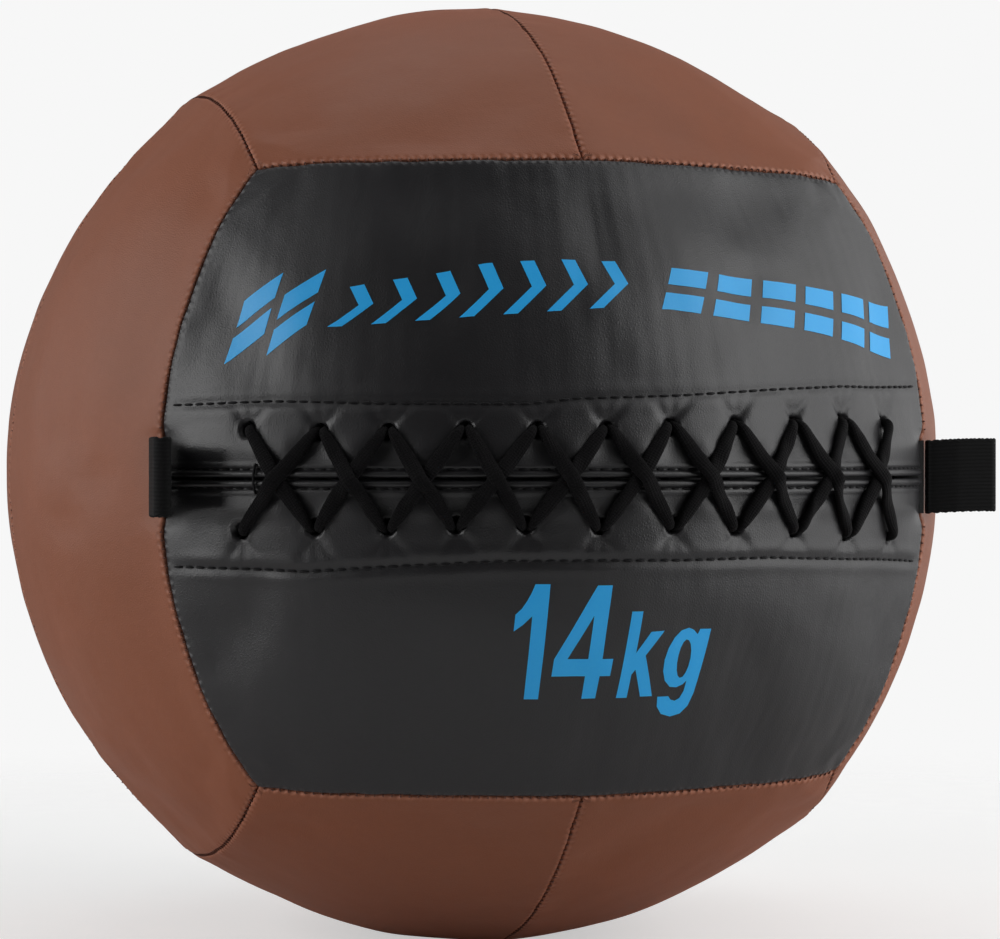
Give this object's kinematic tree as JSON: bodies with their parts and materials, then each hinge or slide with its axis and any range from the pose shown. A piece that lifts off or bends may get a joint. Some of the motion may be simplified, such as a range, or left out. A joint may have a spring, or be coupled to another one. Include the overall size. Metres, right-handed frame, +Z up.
{
  "type": "medicine ball",
  "caption": "Soft round medicine ball with a sewn panel cover, a laced filling closure across the front, webbing loops at its ends and a weighted filling.",
  "frame": {"origin": "middle of the small flat under the resting ball, on the floor", "axes": "+Z up; -Y out of the laced front; +X to the right of someone who faces the front"},
  "size_m": [0.35, 0.3558, 0.346],
  "materials": {
    "black_cover": "coated fabric, fine leather grain, semi-gloss",
    "brown_cover": "coated fabric, fine leather grain, satin",
    "facing": "stiff woven tape",
    "tongue": "coated fabric, satin",
    "lace": "flat braided cord, matt",
    "thread": "bonded polyester thread",
    "seam_thread": "bonded polyester thread",
    "webbing": "woven nylon webbing, matt",
    "foam": "soft open foam",
    "inner_bag": "plain woven nylon",
    "packing": "packed textile offcuts",
    "canvas": "heavy plain canvas",
    "tie_cord": "cotton cord",
    "iron_sand": "loose iron sand"
  },
  "bodies": {
    "ball": {"front_upper_panel": "black_cover", "front_lower_panel": "black_cover", "back_upper_panel": "black_cover", "back_lower_panel": "black_cover", "top_left_panel": "brown_cover", "top_right_panel": "brown_cover", "bottom_left_panel": "brown_cover", "bottom_right_panel": "brown_cover", "left_front_panel": "brown_cover", "left_back_panel": "brown_cover", "right_front_panel": "brown_cover", "right_back_panel": "brown_cover", "upper_facing": "facing", "lower_facing": "facing", "closure_tongue": "tongue", "lace_outward_run": "lace", "lace_return_run": "lace", "lace_knots": "lace", "upper_topstitch": "thread", "lower_topstitch": "thread", "lip_stitching": "thread", "closing_thread": "thread", "seam_threads": "seam_thread", "left_loop_tails": "webbing", "right_loop_tails": "webbing", "front_upper_pad": "foam", "front_lower_pad": "foam", "back_upper_pad": "foam", "back_lower_pad": "foam", "top_left_pad": "foam", "top_right_pad": "foam", "bottom_left_pad": "foam", "bottom_right_pad": "foam", "left_front_pad": "foam", "left_back_pad": "foam", "right_front_pad": "foam", "right_back_pad": "foam", "inner_bag": "inner_bag", "mouth_flap": "inner_bag", "lower_packing": "packing", "upper_packing": "packing", "weight_bag": "canvas", "weight_bag_tie": "tie_cord", "iron_sand": "iron_sand"},
    "left_loop": {"left_loop": "webbing"},
    "right_loop": {"right_loop": "webbing"}
  },
  "joints": [
    {"name": "left_loop_hinge", "type": "hinge", "parent": "ball", "child": "left_loop", "pos_m": [-0.13957, -0.1078, 0.17104], "axis": [0, 0, 1], "range_deg": [-102.3, 17.7], "stiffness_Nm_per_rad": 0.002},
    {"name": "right_loop_hinge", "type": "hinge", "parent": "ball", "child": "right_loop", "pos_m": [0.13957, -0.1078, 0.17104], "axis": [0, 0, 1], "range_deg": [-97.7, 22.3], "stiffness_Nm_per_rad": 0.002}
  ]
}
